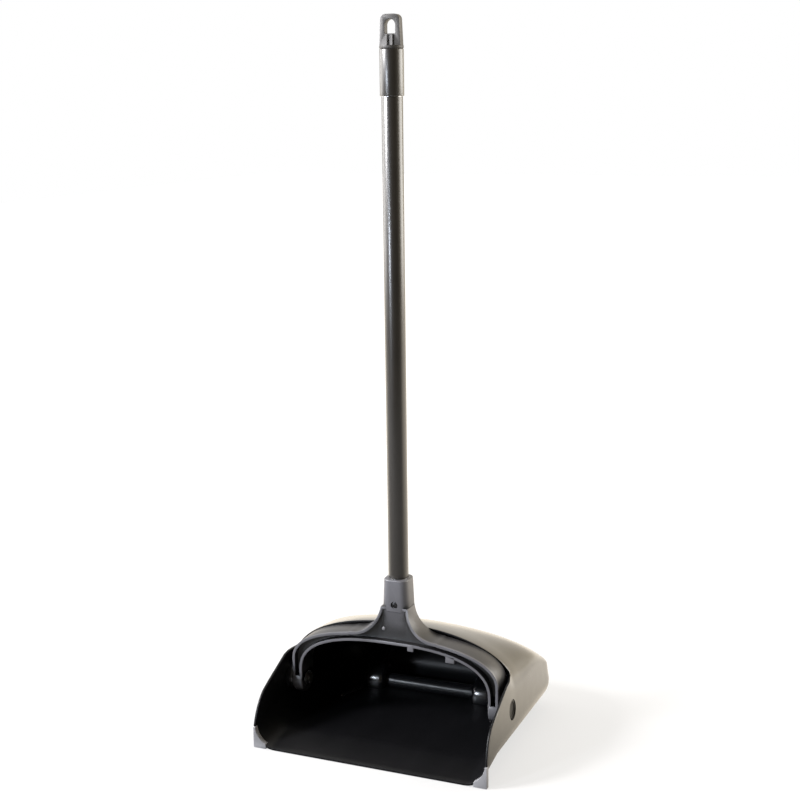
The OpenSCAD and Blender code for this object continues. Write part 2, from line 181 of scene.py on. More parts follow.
def pan_point(around, along):
    """A place on the outside of the pan, round its section and from its front edge to its back."""
    part = 2 * min(around, 1 - around)
    front_rows = 20 / 48
    if along <= front_rows:
        near, far = 0.0, hood_depth + 0.001
        for halving in range(40):
            edge = (near + far) / 2
            if edge < front_edge(pan_section(part, edge)[1]):
                near = edge
            else:
                far = edge
        depth = edge + (sheet_join - edge) * along / front_rows
    else:
        depth = sheet_join + (pan_depth - sheet_join) * math.sin(
            math.pi / 2 * (along - front_rows) / (1 - front_rows))
    across, height = pan_section(part, depth)
    return Vector((across if around <= 0.5 else -across, lip_y + depth, height))


clear_bench()
bpy.ops.mesh.primitive_grid_add(x_subdivisions=120, y_subdivisions=48, size=1)
pan = named("pan")
for point in pan.data.vertices:
    point.co = pan_point(0.5 - point.co.x, point.co.y + 0.5)
only(pan)
bpy.ops.object.mode_set(mode="EDIT")
bpy.ops.mesh.select_all(action="SELECT")
bpy.ops.mesh.remove_doubles(threshold=1e-6)
pick_edges(pan, lambda a, b: min(a.y, b.y) > lip_y + pan_depth - 1e-6)
bpy.ops.mesh.edge_face_add()
bpy.ops.object.mode_set(mode="OBJECT")


def moulded_plastic(name, colour, roughness, coat=0.0, specular=0.5, grain=0.0004, depth=0.05, wear_and_highlight=0.4,
                    hollow_shade=0.0):
    """Moulded plastic: cloudy colour, uneven gloss, fine grain, pale edges that are partly rubbed wear and
    partly painted highlight, and painted shade in its hollows.
    """
    material = bpy.data.materials.new(name)
    material.use_nodes = True
    nodes = material.node_tree.nodes
    link = material.node_tree.links.new
    shader = nodes["Principled BSDF"]
    shader.inputs["Specular IOR Level"].default_value = specular
    shader.inputs["Coat Weight"].default_value = coat
    shader.inputs["Coat Roughness"].default_value = roughness * 0.8
    place = nodes.new("ShaderNodeTexCoord")
    cloud = nodes.new("ShaderNodeTexNoise")
    cloud.inputs["Scale"].default_value = 22
    cloud.inputs["Detail"].default_value = 4
    link(place.outputs["Object"], cloud.inputs["Vector"])
    tone = nodes.new("ShaderNodeValToRGB")
    tone.color_ramp.elements[0].position = 0.3
    tone.color_ramp.elements[1].position = 0.7
    tone.color_ramp.elements[0].color = [0.85 * c for c in colour] + [1]
    tone.color_ramp.elements[1].color = [1.15 * c for c in colour] + [1]
    link(cloud.outputs["Fac"], tone.inputs["Fac"])
    surface = tone.outputs["Color"]
    # Painted shade: where the surface is hollowed, its colour is darkened towards near black.
    if hollow_shade:
        hollow = nodes.new("ShaderNodeAmbientOcclusion")
        hollow.only_local = True
        hollow.samples = 16
        hollow.inputs["Distance"].default_value = 0.04
        hollow_shade_amount = nodes.new("ShaderNodeMapRange")
        hollow_shade_amount.inputs["From Min"].default_value = 0.88
        hollow_shade_amount.inputs["From Max"].default_value = 0.97
        hollow_shade_amount.inputs["To Min"].default_value = hollow_shade
        hollow_shade_amount.inputs["To Max"].default_value = 0.0
        link(hollow.outputs["AO"], hollow_shade_amount.inputs["Value"])
        hollow_shaded_colour = nodes.new("ShaderNodeMix")
        hollow_shaded_colour.data_type = "RGBA"
        hollow_shaded_colour.inputs[7].default_value = (0.003, 0.003, 0.003, 1)
        link(hollow_shade_amount.outputs["Result"], hollow_shaded_colour.inputs[0])
        link(surface, hollow_shaded_colour.inputs[6])
        surface = hollow_shaded_colour.outputs[2]
    # Pale edges: partly rubbed wear, partly painted highlight on the edges that catch light.
    shape = nodes.new("ShaderNodeNewGeometry")
    edges = nodes.new("ShaderNodeMapRange")
    edges.inputs["From Min"].default_value = 0.53
    edges.inputs["From Max"].default_value = 0.62
    edges.inputs["To Max"].default_value = wear_and_highlight
    link(shape.outputs["Pointiness"], edges.inputs["Value"])
    worn_and_lit_edge = nodes.new("ShaderNodeMix")
    worn_and_lit_edge.data_type = "RGBA"
    worn_and_lit_edge.inputs[7].default_value = [min(1.0, 2.2 * c + 0.02) for c in colour] + [1]
    link(edges.outputs["Result"], worn_and_lit_edge.inputs[0])
    link(surface, worn_and_lit_edge.inputs[6])
    link(worn_and_lit_edge.outputs[2], shader.inputs["Base Color"])
    smear = nodes.new("ShaderNodeTexNoise")
    smear.inputs["Scale"].default_value = 60
    smear.inputs["Detail"].default_value = 6
    link(place.outputs["Object"], smear.inputs["Vector"])
    gloss = nodes.new("ShaderNodeMapRange")
    gloss.inputs["To Min"].default_value = roughness * 0.8
    gloss.inputs["To Max"].default_value = roughness * 1.2
    link(smear.outputs["Fac"], gloss.inputs["Value"])
    link(gloss.outputs["Result"], shader.inputs["Roughness"])
    pores = nodes.new("ShaderNodeTexNoise")
    pores.inputs["Scale"].default_value = 0.5 / grain
    pores.inputs["Detail"].default_value = 2
    link(place.outputs["Object"], pores.inputs["Vector"])
    bump = nodes.new("ShaderNodeBump")
    bump.inputs["Strength"].default_value = depth
    bump.inputs["Distance"].default_value = grain
    link(pores.outputs["Fac"], bump.inputs["Height"])
    link(bump.outputs["Normal"], shader.inputs["Normal"])
    return material


def stretch_grain(material, scale):
    """Draw the gloss and the grain of a moulded plastic out into streaks."""
    nodes = material.node_tree.nodes
    link = material.node_tree.links.new
    along = nodes.new("ShaderNodeMapping")
    along.inputs["Scale"].default_value = scale
    link(nodes["Texture Coordinate"].outputs["Object"], along.inputs["Vector"])
    for texture in ("Noise Texture.001", "Noise Texture.002"):
        link(along.outputs["Vector"], nodes[texture].inputs["Vector"])


pan_gloss = moulded_plastic("pan_gloss", (0.017, 0.0152, 0.0125), 0.30, coat=1.0, depth=0.03, wear_and_highlight=0.25)
# The inside colour is darker and bluer than the outside: painted shade in a cool tint.
pan_inside_painted_shade = moulded_plastic("pan_inside_painted_shade", (0.0045, 0.0046, 0.0054), 0.40, specular=0.2, depth=0.08, wear_and_highlight=0.1)
stretch_grain(pan_inside_painted_shade, (1, 0.03, 1))
pan.data.materials.append(pan_gloss)
pan.data.materials.append(pan_inside_painted_shade)
apply_modifier(pan, "SOLIDIFY", thickness=wall, offset=-1, use_even_offset=True, material_offset=1,
               material_offset_rim=1)
for point in pan.data.vertices:
    point.co.y = max(point.co.y, lip_y)
apply_modifier(pan, "BEVEL", width=0.0009, segments=2, limit_method="ANGLE", angle_limit=math.radians(50))

# Wheel housings with gussets and floor ribs, the axle's tunnel and the pivot hubs are moulded with the pan.
# Housings and tunnel are hollow bumps of the same wall, open below for wheels and axle.
# The sweepings have polished the housings; the tunnel is duller. Both are coloured dark and bluish like the
# pan's inside: painted shade in a cool tint.
axle_y = lip_y + 0.228
axle_z = 0.019
wheel_x = 0.080
pivot_y = lip_y + 0.1045
pivot_z = 0.061
floor_skin = floor_gap + 0.0014
housing_inner = 0.0655
housing_outer = 0.0945
housing_radius = 0.024
hub_inner = 0.1469
hub_outer = 0.1584
hub_radius = 0.0185
fin_height = 0.0405
fin_slope = 0.006 / 0.088
rib_shift = 0.015
rib_half = 0.003
rib_back = axle_y - 0.029
rib_length = 0.040
rib_foot = 0.0095
rib_top = 0.016
rib_turn = math.radians(25)
tunnel_half = 0.100
tunnel_radius = 0.010
room_inner = 0.068
room_outer = 0.092
room_radius = 0.0215
head_seat = 0.1555
head_room_radius = 0.0134
pin_bore_radius = 0.00602
pin_bore_inner = 0.140
beyond = 0.170
pad_inner = 0.144
pad_depth = 0.007
pad_height = 0.029
overcut = 0.001
bore_half = 0.0625
bore_radius = 0.0065
axle_half = 0.0965
axle_bore_radius = 0.00402
snap_half = 0.0035
snap_top = 0.017
# Housing and tunnel colours are painted shade in a cool tint, darker than the pan's outside.
bump_painted_shade = moulded_plastic("bump_painted_shade", (0.0055, 0.0058, 0.0070), 0.23, coat=1.0, depth=0.03, wear_and_highlight=0.6)
ridge_painted_shade = moulded_plastic("ridge_painted_shade", (0.0055, 0.0058, 0.0070), 0.34, depth=0.03, wear_and_highlight=0.3)
bumps = []


def pick_faces(piece, test):
    """Go into edit mode with the faces selected that pass a test on their middle and normal."""
    only(piece)
    bpy.ops.object.mode_set(mode="EDIT")
    bpy.ops.mesh.select_mode(type="FACE")
    bpy.ops.mesh.select_all(action="DESELECT")
    bpy.ops.object.mode_set(mode="OBJECT")
    for face in piece.data.polygons:
        face.select = test(face.center, face.normal)
    bpy.ops.object.mode_set(mode="EDIT")


def ease_edges(piece, width, segments=2, angle=40):
    """Round the sharp edges of a piece and smooth the rest."""
    apply_modifier(piece, "BEVEL", width=width, segments=segments, limit_method="ANGLE",
                   angle_limit=math.radians(angle))
    only(piece)
    bpy.ops.object.shade_smooth_by_angle(angle=math.radians(35))


def cut_away(piece, cutter):
    """Cut the shape of another piece out of this one."""
    apply_modifier(piece, "BOOLEAN", operation="DIFFERENCE", solver="EXACT", object=cutter)


def scrap(piece):
    """Throw a cutting shape away."""
    mesh = piece.data
    bpy.data.objects.remove(piece)
    bpy.data.meshes.remove(mesh)


def join_up(pieces):
    """Make several pieces one, under the first one's name."""
    only(pieces[0])
    for piece in pieces[1:]:
        piece.select_set(True)
    bpy.ops.object.join()
    return pieces[0]


def cross_rod(name, x0, x1, y, z, radius, vertices=64):
    """A round bar across the pan."""
    clear_bench()
    bpy.ops.mesh.primitive_cylinder_add(vertices=vertices, radius=radius, depth=abs(x1 - x0),
                                        location=((x0 + x1) / 2, y, z), rotation=(0, math.pi / 2, 0))
    return named(name)


def block(name, low, high):
    """A square block between two corners."""
    clear_bench()
    middle = [(a + b) / 2 for a, b in zip(low, high)]
    bpy.ops.mesh.primitive_cube_add(size=1, location=middle, scale=[b - a for a, b in zip(low, high)])
    return named(name)


def gusset(side, turn, reach):
    """A thin upright fin on the floor behind a wheel housing, out to the pan's rear wall."""
    clear_bench()
    bpy.ops.mesh.primitive_grid_add(x_subdivisions=10, y_subdivisions=1, size=1)
    fin = named("gusset")
    for point in fin.data.vertices:
        run = reach * (point.co.x + 0.5)
        depth = axle_y - lip_y + run * math.cos(turn)
        low = pan_section(0, depth)[1] + 0.002
        high = fin_height + fin_slope * run
        point.co = (side * (wheel_x + run * math.sin(turn)), lip_y + depth, high if point.co.y > 0 else low)
    apply_modifier(fin, "SOLIDIFY", thickness=wall, offset=0)
    ease_edges(fin, 0.0008)
    return fin


for side in (-1, 1):
    housing = cross_rod("housing", side * housing_inner, side * housing_outer, axle_y, axle_z, housing_radius)
    bumps.append(housing)
    ease_edges(housing, 0.007, segments=5)
    hub = cross_rod("hub", side * hub_inner, side * hub_outer, pivot_y, pivot_z, hub_radius)
    bumps.append(hub)
    ease_edges(hub, 0.0008)
    rib_x = side * (wheel_x + rib_shift)
    rib = block("rib", (rib_x - rib_half, rib_back - rib_length, rib_foot),
                (rib_x + rib_half, rib_back, rib_top))
    bpy.ops.object.mode_set(mode="EDIT")
    bpy.ops.mesh.select_all(action="SELECT")
    bpy.ops.transform.rotate(value=-side * rib_turn, orient_axis="Z",
                             center_override=(rib_x, rib_back, rib_foot))
    ease_edges(rib, 0.0022, segments=3)
    bumps.append(rib)
    bumps.append(gusset(side, 0, 0.051))
    bumps.append(gusset(side, math.radians(45), 0.064))
tunnel = cross_rod("tunnel", -tunnel_half, tunnel_half, axle_y, axle_z, tunnel_radius, vertices=48)
ease_edges(tunnel, 0.003, segments=3)
bumps.append(tunnel)

rooms = []
for side in (-1, 1):
    rooms.append(cross_rod("room", side * room_inner, side * room_outer, axle_y, axle_z, room_radius))
    rooms.append(cross_rod("head_room", side * head_seat, side * beyond, pivot_y, pivot_z, head_room_radius))
    rooms.append(cross_rod("pin_room", side * pin_bore_inner, side * beyond, pivot_y, pivot_z,
                           pin_bore_radius))
    low, high = sorted((side * pad_inner, side * beyond))
    rooms.append(block("pad_room", (low, lip_y - overcut, -overcut), (high, lip_y + pad_depth, pad_height)))
rooms.append(cross_rod("tunnel_room", -bore_half, bore_half, axle_y, axle_z, bore_radius))
rooms.append(block("tunnel_slot", (-bore_half, axle_y - bore_radius, 0),
                   (bore_half, axle_y + bore_radius, axle_z)))
rooms.append(cross_rod("axle_room", -axle_half, axle_half, axle_y, axle_z, axle_bore_radius))
rooms.append(block("axle_slot", (-axle_half, axle_y - snap_half, 0),
                   (axle_half, axle_y + snap_half, snap_top)))
for bump_piece in bumps:
    pick_faces(bump_piece, lambda middle, normal: True)
    if bump_piece.name.startswith(("housing", "tunnel")):
        bpy.ops.mesh.bisect(plane_co=(0, 0, floor_skin), plane_no=(0, 0, 1), clear_inner=True, use_fill=True)
    bpy.ops.object.mode_set(mode="OBJECT")
    bump_piece.data.materials.append(ridge_painted_shade if bump_piece is tunnel else bump_painted_shade)
for room in rooms:
    for piece in [pan] + bumps:
        cut_away(piece, room)
    scrap(room)
pan = join_up([pan] + bumps)
only(pan)
bpy.ops.object.shade_smooth_by_angle(angle=math.radians(32))
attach(pan, "pan")
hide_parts("pan_shell")

# The wear pads are two light grey corner pieces of hard plastic, bonded to the ends of the lip.
# They are square outside, hollowed to the pan's round corner inside, and scuffed along the sole.


def cad_copy(node, name):
    """A copy of a CAD solid with its loose triangles merged into clean faces."""
    only(frame["nodes"][node])
    bpy.ops.object.duplicate()
    piece = bpy.context.object
    piece.name = name
    piece.data.name = name
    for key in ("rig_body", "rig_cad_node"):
        if key in piece:
            del piece[key]
    piece.parent = None
    piece.data.materials.clear()
    bpy.ops.object.mode_set(mode="EDIT")
    bpy.ops.mesh.select_all(action="SELECT")
    bpy.ops.mesh.remove_doubles(threshold=2e-6)
    bpy.ops.mesh.dissolve_limited(angle_limit=math.radians(0.5))
    bpy.ops.object.mode_set(mode="OBJECT")
    bpy.ops.mesh.customdata_custom_splitnormals_clear()
    return piece


pad_grey = moulded_plastic("pad_grey", (0.235, 0.235, 0.247), 0.55, specular=0.4, depth=0.12, wear_and_highlight=0.5)
for side in ("left", "right"):
    pad = cad_copy("wear_pad_" + side, "corner_pad_" + side)
    ease_edges(pad, 0.0007, segments=2, angle=50)
    pad.data.materials.append(pad_grey)
    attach(pad, "pan")
    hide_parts("wear_pad_" + side)

# The axle is a plain drawn steel rod that snaps into the tunnel under the pan.
# The retaining rings on the pivot pins and the handle's tube are of the same bare steel.


def drawn_steel(name, stretch, shade=1.0):
    """Drawn steel, bare or blackened, with fine drawing lines along the rod and dull patches."""
    material = bpy.data.materials.new(name)
    material.use_nodes = True
    nodes = material.node_tree.nodes
    link = material.node_tree.links.new
    shader = nodes["Principled BSDF"]
    shader.inputs["Metallic"].default_value = 1.0
    place = nodes.new("ShaderNodeTexCoord")
    along = nodes.new("ShaderNodeMapping")
    along.inputs["Scale"].default_value = stretch
    link(place.outputs["Object"], along.inputs["Vector"])
    lines = nodes.new("ShaderNodeTexNoise")
    lines.inputs["Scale"].default_value = 900
    lines.inputs["Detail"].default_value = 3
    link(along.outputs["Vector"], lines.inputs["Vector"])
    tone = nodes.new("ShaderNodeValToRGB")
    tone.color_ramp.elements[0].color = (0.42 * shade, 0.42 * shade, 0.43 * shade, 1)
    tone.color_ramp.elements[1].color = (0.62 * shade, 0.62 * shade, 0.63 * shade, 1)
    link(lines.outputs["Fac"], tone.inputs["Fac"])
    link(tone.outputs["Color"], shader.inputs["Base Color"])
    dull = nodes.new("ShaderNodeMapRange")
    dull.inputs["To Min"].default_value = 0.25
    dull.inputs["To Max"].default_value = 0.45
    link(lines.outputs["Fac"], dull.inputs["Value"])
    link(dull.outputs["Result"], shader.inputs["Roughness"])
    return material


cross_steel = drawn_steel("cross_drawn_steel", (0.03, 1, 1))
upright_steel = drawn_steel("upright_drawn_steel", (1, 1, 0.03))


def dress(node, material):
    """Give a CAD solid that stays its own material."""
    solid = frame["nodes"][node]
    solid.data.materials.clear()
    solid.data.materials.append(material)


dress("axle_rod", cross_steel)

# The two wheels are one-piece black rubber-tyred rollers: a rounded tread, a thin web and a long hub.
# They turn freely on the axle inside their housings.
wheel_radius = 0.019
wheel_half = 0.0095
cheek_steps = ((0.004, -0.0065), (0.007, 0.0086))
hub_wall = 0.00395
hub_reach = 0.0045
wheel_rubber = moulded_plastic("wheel_rubber", (0.030, 0.030, 0.030), 0.62, specular=0.3, depth=0.25,
                               wear_and_highlight=0.6)
for side, letter in ((-1, "left"), (1, "right")):
    middle_x = side * wheel_x
    wheel = cross_rod("roller_" + letter, middle_x - wheel_half, middle_x + wheel_half, axle_y, axle_z,
                      wheel_radius)
    for cheek in (-1, 1):
        pick_faces(wheel, lambda middle, normal: normal.x * cheek > 0.9)
        for inset, push in cheek_steps:
            bpy.ops.mesh.inset(thickness=inset)
            bpy.ops.mesh.extrude_region_move(TRANSFORM_OT_translate={"value": (cheek * push, 0, 0)})
        bpy.ops.mesh.inset(thickness=hub_wall)
        bpy.ops.mesh.delete(type="FACE")
    pick_edges(wheel, lambda a, b: all(math.hypot(p.y - axle_y, p.z - axle_z) < hub_reach for p in (a, b)))
    bpy.ops.mesh.bridge_edge_loops()
    bpy.ops.mesh.select_all(action="SELECT")
    bpy.ops.mesh.normals_make_consistent(inside=False)
    ease_edges(wheel, 0.0012, segments=3)
    wheel.data.materials.append(wheel_rubber)
    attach(wheel, "wheel_" + letter[0])
    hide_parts("wheel_" + letter)

# Headed black nylon pins carry the yoke's arms; each is pressed into the pan's side from outside.
# The broad head lies in a round recess, with a shallow dish in its face; a steel ring holds the inner end.
head_face = 0.1585
dish_rim = 0.003
dish_depth = 0.001
pin_nylon = moulded_plastic("pin_nylon", (0.020, 0.019, 0.017), 0.45, specular=0.4, depth=0.1, wear_and_highlight=0.3)
for side, letter in ((-1, "left"), (1, "right")):
    pin = cad_copy("pivot_pin_" + letter, "hinge_pin_" + letter)
    pick_faces(pin, lambda middle, normal: middle.x * side > head_face)
    bpy.ops.mesh.inset(thickness=dish_rim)
    bpy.ops.mesh.extrude_region_move(TRANSFORM_OT_translate={"value": (-side * dish_depth, 0, 0)})
    ease_edges(pin, 0.0004, segments=2)
    pin.data.materials.append(pin_nylon)
    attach(pin, "pan")
    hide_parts("pivot_pin_" + letter)
    dress("pivot_clip_" + letter, cross_steel)

# The yoke is one satin black moulding: an arched band with arms down to the pivots, a flare and a neck.
# Its front is a web between an outer flange and a rim, from arm to arm and up to the neck, darkened with
# painted shade; the back is hollow beside a spine. Two small tabs hang from the right half of the rim.
yoke_front = lip_y + 0.0875
yoke_rear = lip_y + 0.1215
tube_y = lip_y + 0.1135
neck_front = tube_y - 0.0165
arm_x = 0.1465
arm_width = 0.0135
arch_top = 0.1445
flange = 0.0036
recess = 0.010
flare_height = 0.1805
flare_x = 0.061
flare_radius = 0.042
flare_z = 0.1845
spine_top = 0.009
outer_spring = 0.092
outer_power = 2.4
opening_top = 0.133
opening_spring = 0.075
opening_power = 2.6
opening_half = arm_x - arm_width
inner_x = 0.050


def arch(half, top, spring, power, share):
    """A place on one half of a rounded arch, from its spring, 0, to its crest, 1."""
    angle = math.pi / 2 * share
    return (half * max(0.0, math.cos(angle)) ** (2 / power),
            spring + (top - spring) * math.sin(angle) ** (2 / power))


def resampled(path, count):
    """Evenly spaced places along a path of straight pieces."""
    lengths = [math.dist(a, b) for a, b in zip(path, path[1:])]
    places = []
    for step in range(count):
        goal = sum(lengths) * step / (count - 1)
        index = 0
        while index < len(lengths) - 1 and goal > lengths[index]:
            goal -= lengths[index]
            index += 1
        share = min(1.0, goal / lengths[index])
        places.append([a + (b - a) * share for a, b in zip(path[index], path[index + 1])])
    return places


def opening_height(across):
    """Height of the yoke's opening at a distance from the middle."""
    rise = (1 - (across / opening_half) ** opening_power) ** (1 / opening_power)
    return opening_spring + (opening_top - opening_spring) * rise


shares = [s / 60 for s in range(61)]
outer_arm = [(arm_x, pivot_z)] + [arch(arm_x, arch_top, outer_spring, outer_power, s) for s in shares]
outer_arm = [p for p in outer_arm if p[0] >= flare_x] + [(flare_x, flare_z - flare_radius)]
inner_arm = [(opening_half, pivot_z)]
inner_arm += [arch(opening_half, opening_top, opening_spring, opening_power, s) for s in shares]
inner_arm = [p for p in inner_arm if p[0] > inner_x] + [(inner_x, opening_height(inner_x))]
sweep = [math.radians(270 - 84.5 * s / 24) for s in range(25)]
outer_flare = [(flare_x + flare_radius * math.cos(a), flare_z + flare_radius * math.sin(a)) for a in sweep]
outer_flare += [(spine_top, flare_height)]
inner_flare = [(x / 1000, opening_height(x / 1000)) for x in range(50, 11, -2)]
outside = resampled(outer_arm, 34)[:-1] + resampled(outer_flare, 22) + [(0.0, flare_height)]
inside = resampled(inner_arm, 34)[:-1] + resampled(inner_flare, 22) + [(0.0, opening_height(0.0))]
stations = len(outside)

clear_bench()
bpy.ops.mesh.primitive_grid_add(x_subdivisions=2 * stations - 2, y_subdivisions=1, size=1)
yoke = named("yoke_moulding")
for point in yoke.data.vertices:
    index = round((point.co.x + 0.5) * (2 * stations - 2))
    station = min(index, 2 * stations - 2 - index)
    across, height = outside[station] if point.co.y > 0 else inside[station]
    lean = max(0.0, height - arch_top - flange) / (flare_height - arch_top - flange)
    point.co = (across if index >= stations else -across,
                yoke_front + lean * (neck_front - yoke_front), height)
pick_faces(yoke, lambda middle, normal: True)
bpy.ops.mesh.extrude_region_move(TRANSFORM_OT_translate={"value": (0, yoke_rear - yoke_front, 0)})
bpy.ops.object.mode_set(mode="OBJECT")
for point in yoke.data.vertices:
    if point.co.y > yoke_rear - 0.012:
        point.co.y = yoke_rear
only(yoke)
bpy.ops.object.mode_set(mode="EDIT")
bpy.ops.mesh.select_all(action="SELECT")
bpy.ops.mesh.normals_make_consistent(inside=False)


def in_recess(middle, facing, spine, reach):
    """Faces of the band, from its spine to its reach, and of the arms, where they look the given way."""
    above_pivot = middle.z > pivot_z + 0.004
    in_band = spine < abs(middle.x) < reach
    in_arm = middle.z < 0.114 and abs(middle.x) > 0.1
    return facing > 0.6 and above_pivot and (in_band or in_arm)


pick_faces(yoke, lambda middle, normal: in_recess(middle, -normal.y, -1, arm_x))
bpy.ops.mesh.inset(thickness=flange, use_even_offset=True, use_boundary=True)
bpy.ops.mesh.extrude_region_move(TRANSFORM_OT_translate={"value": (0, 0.001, 0)})
bpy.ops.object.mode_set(mode="OBJECT")
for point in yoke.data.vertices:
    if point.select:
        point.co.y = yoke_front + recess
    elif point.co.z > 0.170 and abs(point.co.x) < 0.0155:
        point.co.y = max(point.co.y, neck_front + 0.0003)
pick_faces(yoke, lambda middle, normal: middle.y > yoke_rear - 0.001
           and in_recess(middle, normal.y, 0.011, 0.084))
bpy.ops.mesh.inset(thickness=flange, use_even_offset=True, use_boundary=True)
bpy.ops.mesh.extrude_region_move(TRANSFORM_OT_translate={"value": (0, -0.012, 0)})
ease_edges(yoke, 0.0009, segments=2)

neck_half = 0.019
neck_taper = 17 / 19
neck_foot = 0.1735
neck_top = 0.218
socket_floor = 0.1771
socket_depth = 0.05
screw_z = 0.184
neck = block("neck", (-neck_half, neck_front, neck_foot), (neck_half, 2 * tube_y - neck_front, neck_top))
for point in neck.data.vertices:
    if point.co.z > neck_foot + 0.02:
        point.co.x *= neck_taper
pick_edges(neck, lambda a, b: abs(a.z - b.z) > 0.02)
bpy.ops.mesh.bevel(offset=0.010, segments=6)
ease_edges(neck, 0.0018, segments=3, angle=50)
clear_bench()
bpy.ops.mesh.primitive_cylinder_add(vertices=64, radius=0.01275, depth=socket_depth,
                                    location=(0, tube_y, socket_floor + socket_depth / 2))
socket = named("socket")
clear_bench()
bpy.ops.mesh.primitive_cylinder_add(vertices=48, radius=0.00475, depth=0.0042,
                                    location=(0, neck_front, screw_z), rotation=(math.pi / 2, 0, 0))
head_bed = named("head_bed")
for cutter in (socket, head_bed):
    cut_away(neck, cutter)
    scrap(cutter)
clear_bench()
# A small dome on the web, coloured pale grey: a painted glint.
bpy.ops.mesh.primitive_uv_sphere_add(segments=24, ring_count=12, radius=0.0026,
                                     location=(-0.0155, yoke_front + recess, 0.150), scale=(1, 0.5, 1))
pale_dot = named("pale_dot")
dot_painted_glint = moulded_plastic("dot_painted_glint", (0.22, 0.22, 0.23), 0.30, depth=0.03, wear_and_highlight=0.2)
pale_dot.data.materials.append(dot_painted_glint)
arms = [yoke, neck, pale_dot]
for side in (-1, 1):
    boss = cross_rod("boss", side * opening_half, side * arm_x, pivot_y, pivot_z, hub_radius)
    ease_edges(boss, 0.0015, segments=3)
    low, high = sorted((side * (arm_x - flange), side * (arm_x - arm_width + flange)))
    slot = block("slot", (low, yoke_front - 0.02, pivot_z + 0.0075),
                 (high, yoke_front + recess, pivot_z + 0.03))
    cut_away(boss, slot)
    scrap(slot)
    arms.append(boss)
for across, half, drop in ((0.026, 0.0045, 0.006), (0.081, 0.0065, 0.006)):
    foot = opening_height(across + half) - drop
    tab = block("tab", (across - half, yoke_front, foot),
                (across + half, yoke_front + flange, foot + drop + flange))
    ease_edges(tab, 0.0012, segments=3)
    arms.append(tab)


def paint_recess_shade(material, front, foot, top, amount):
    """Add painted shade behind a front face: the whole amount below foot, fading out towards top."""
    nodes = material.node_tree.nodes
    link = material.node_tree.links.new
    spot = nodes.new("ShaderNodeSeparateXYZ")
    link(nodes["Texture Coordinate"].outputs["Object"], spot.inputs["Vector"])
    deep = nodes.new("ShaderNodeMapRange")
    deep.inputs["From Min"].default_value = front + 0.001
    deep.inputs["From Max"].default_value = front + 0.004
    deep.inputs["To Max"].default_value = amount
    link(spot.outputs["Y"], deep.inputs["Value"])
    low = nodes.new("ShaderNodeMapRange")
    low.interpolation_type = "SMOOTHSTEP"
    low.inputs["From Min"].default_value = foot
    low.inputs["From Max"].default_value = top
    low.inputs["To Min"].default_value = 1.0
    low.inputs["To Max"].default_value = 0.0
    link(spot.outputs["Z"], low.inputs["Value"])
    web_shade = nodes.new("ShaderNodeMath")
    web_shade.operation = "MULTIPLY"
    link(deep.outputs["Result"], web_shade.inputs[0])
    link(low.outputs["Result"], web_shade.inputs[1])
    deeper_shade = nodes.new("ShaderNodeMath")
    deeper_shade.operation = "MAXIMUM"
    link(nodes["Map Range"].outputs["Result"], deeper_shade.inputs[0])
    link(web_shade.outputs["Value"], deeper_shade.inputs[1])
    link(deeper_shade.outputs["Value"], nodes["Mix"].inputs[0])


# The yoke's recesses get painted shade: darkening in its hollows, and a dark film on the web that fades out
# upwards.
yoke_satin = moulded_plastic("yoke_satin", (0.105, 0.105, 0.115), 0.42, coat=0.2, depth=0.05, wear_and_highlight=0.5,
                             hollow_shade=0.95)
paint_recess_shade(yoke_satin, yoke_front, foot=0.142, top=0.174, amount=0.88)
yoke.data.materials.append(yoke_satin)
for piece in arms:
    if piece not in (yoke, pale_dot):
        piece.data.materials.append(yoke_satin)
yoke = join_up(arms)
only(yoke)
bpy.ops.object.shade_smooth_by_angle(angle=math.radians(35))
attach(yoke, "handle")
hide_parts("yoke")

# The handle is a steel tube in a dark brown-grey vinyl cover, pushed into the neck.
# The cover is drawn on in one length, so it shows faint lines along the tube. A blackened cross-slotted screw
# through the neck's front holds the tube.
dress("handle_tube", upright_steel)
handle_vinyl = moulded_plastic("handle_vinyl", (0.018, 0.0152, 0.0120), 0.34, coat=0.9, depth=0.04, wear_and_highlight=0.2)
stretch_grain(handle_vinyl, (1, 1, 0.02))
cover = cad_copy("handle_cover", "tube_cover")
ease_edges(cover, 0.0002, segments=2)
cover.data.materials.append(handle_vinyl)
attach(cover, "handle")
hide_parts("handle_cover")

slot_long = 0.0028
slot_narrow = 0.0005
slot_depth = 0.0012
screw = cad_copy("socket_screw", "neck_screw")
for across, upright in ((slot_long, slot_narrow), (slot_narrow, slot_long)):
    slot = block("slot", (-across, neck_front - 0.003, screw_z - upright),
                 (across, neck_front + slot_depth, screw_z + upright))
    cut_away(screw, slot)
    scrap(slot)
screw.data.materials.append(drawn_steel("black_steel", (1, 1, 1), shade=0.12))
only(screw)
bpy.ops.object.shade_smooth_by_angle(angle=math.radians(35))
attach(screw, "handle")
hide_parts("socket_screw")

# The grip sleeve is a second, thicker length of the same vinyl at the top, where the hand holds the pan.
# It is pushed over the cover and stays there by its own grip.
sleeve = cad_copy("grip_sleeve", "hand_sleeve")
ease_edges(sleeve, 0.0008, segments=3)
sleeve_vinyl = moulded_plastic("sleeve_vinyl", (0.018, 0.0152, 0.0120), 0.36, coat=1.0, depth=0.06, wear_and_highlight=0.3)
stretch_grain(sleeve_vinyl, (1, 1, 0.05))
sleeve.data.materials.append(sleeve_vinyl)
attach(sleeve, "handle")
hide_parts("grip_sleeve")

